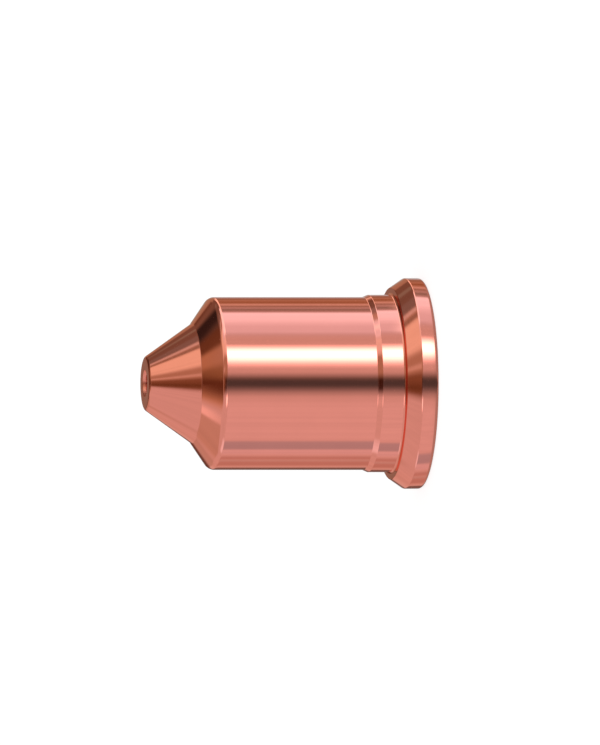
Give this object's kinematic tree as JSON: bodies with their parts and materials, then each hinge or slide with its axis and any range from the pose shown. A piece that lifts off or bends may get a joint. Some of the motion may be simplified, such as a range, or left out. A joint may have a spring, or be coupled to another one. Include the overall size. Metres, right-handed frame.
{
  "type": "plasma torch nozzle",
  "caption": "Turned copper nozzle for a plasma cutting torch: flanged cylinder with a stepped land, a double-angle cone, a flat flared tip and a rear bore narrowing to the arc's throat.",
  "frame": {"origin": "centre of the flange's rear face, on the nozzle's axis", "axes": "+Z along the nozzle's axis, from the rear face to the tip; X and Y are any two directions across it"},
  "size_m": [0.019, 0.019, 0.0253],
  "materials": {
    "copper": "polished turned copper"
  },
  "bodies": {
    "root": {"nozzle": "copper"}
  },
  "joints": []
}
